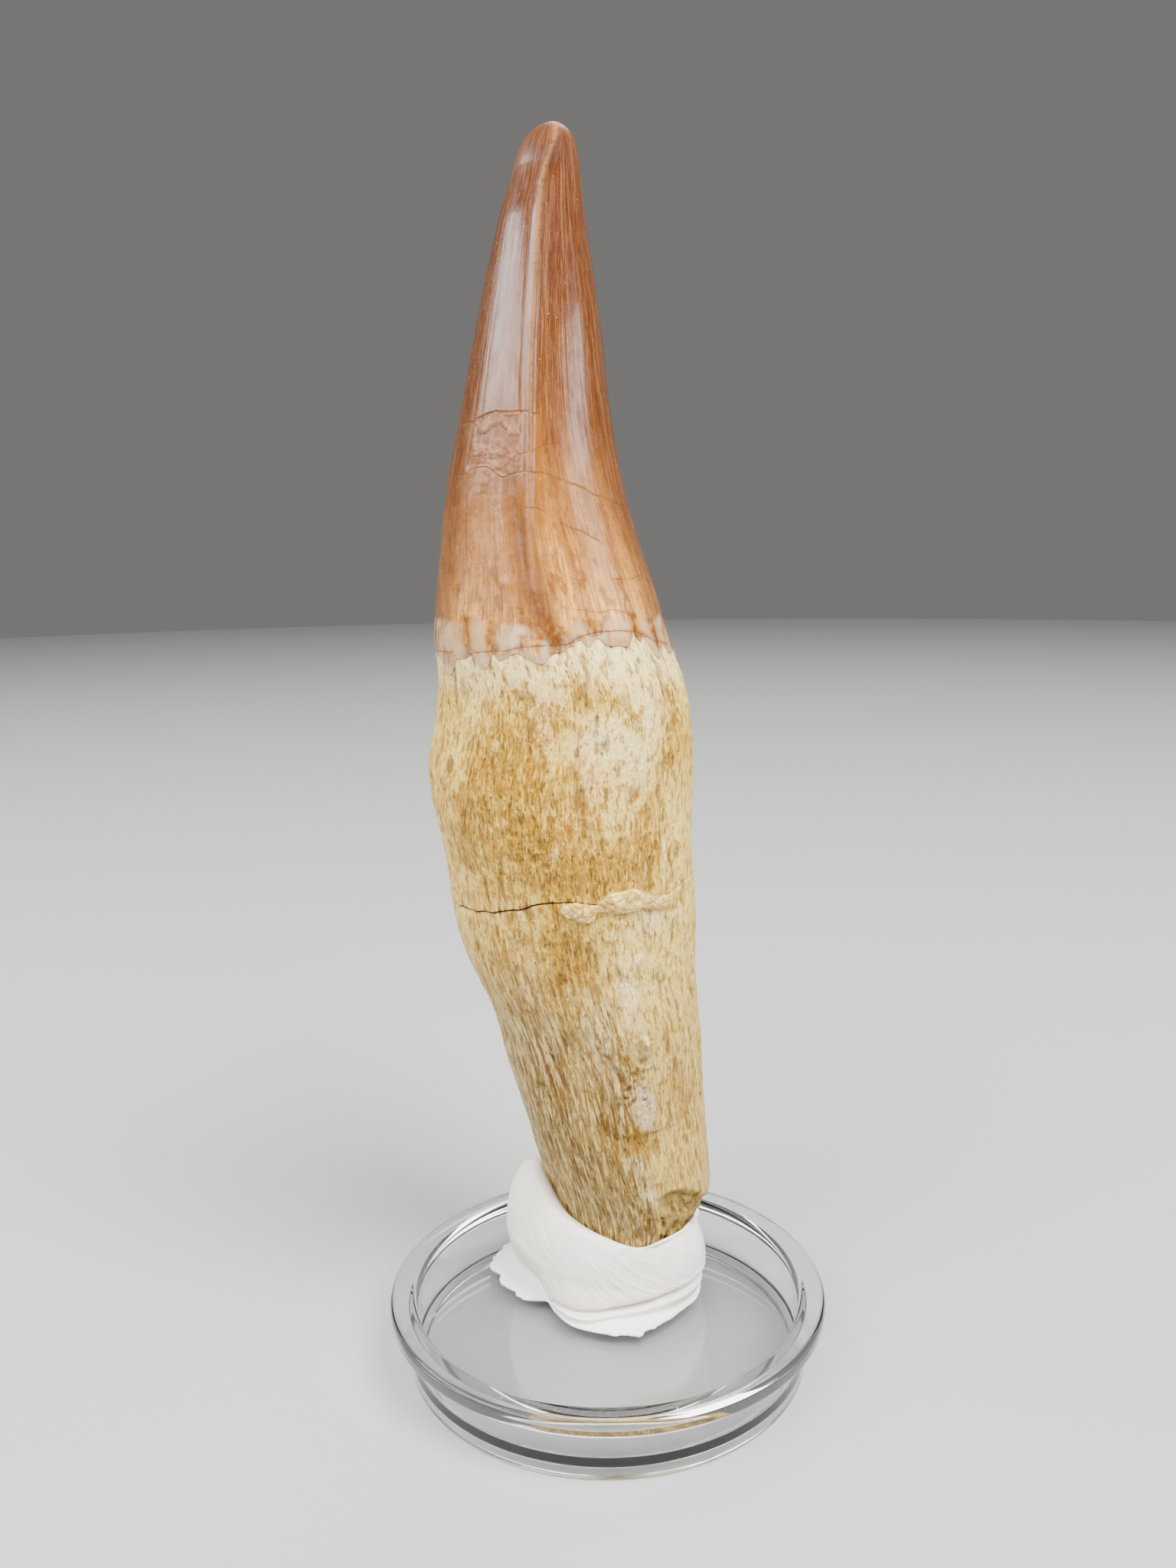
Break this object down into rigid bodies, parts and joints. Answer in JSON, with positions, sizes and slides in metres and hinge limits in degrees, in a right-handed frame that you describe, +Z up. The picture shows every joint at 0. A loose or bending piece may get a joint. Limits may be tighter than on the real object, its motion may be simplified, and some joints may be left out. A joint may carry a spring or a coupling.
{
  "type": "fossil prognathodon mosasaur tooth",
  "caption": "Fossil mosasaur tooth, glossy brown crown on a long cream root, held upright by ivory putty in a clear round display dish.",
  "frame": {"origin": "on the dish's axis, at the surface that the dish's foot ring stands on", "axes": "+Z is up, from the dish to the tooth's tip. -Y is the side with the front cutting edge, and +X is to the right as seen from there"},
  "size_m": [0.04, 0.04, 0.1077],
  "materials": {
    "fossil": "glossy brown enamel crown, satin porous cream root",
    "putty": "matte",
    "clear_plastic": "clear polished"
  },
  "bodies": {
    "root": {"tooth": "fossil", "putty": "putty", "display_dish": "clear_plastic"}
  },
  "joints": []
}
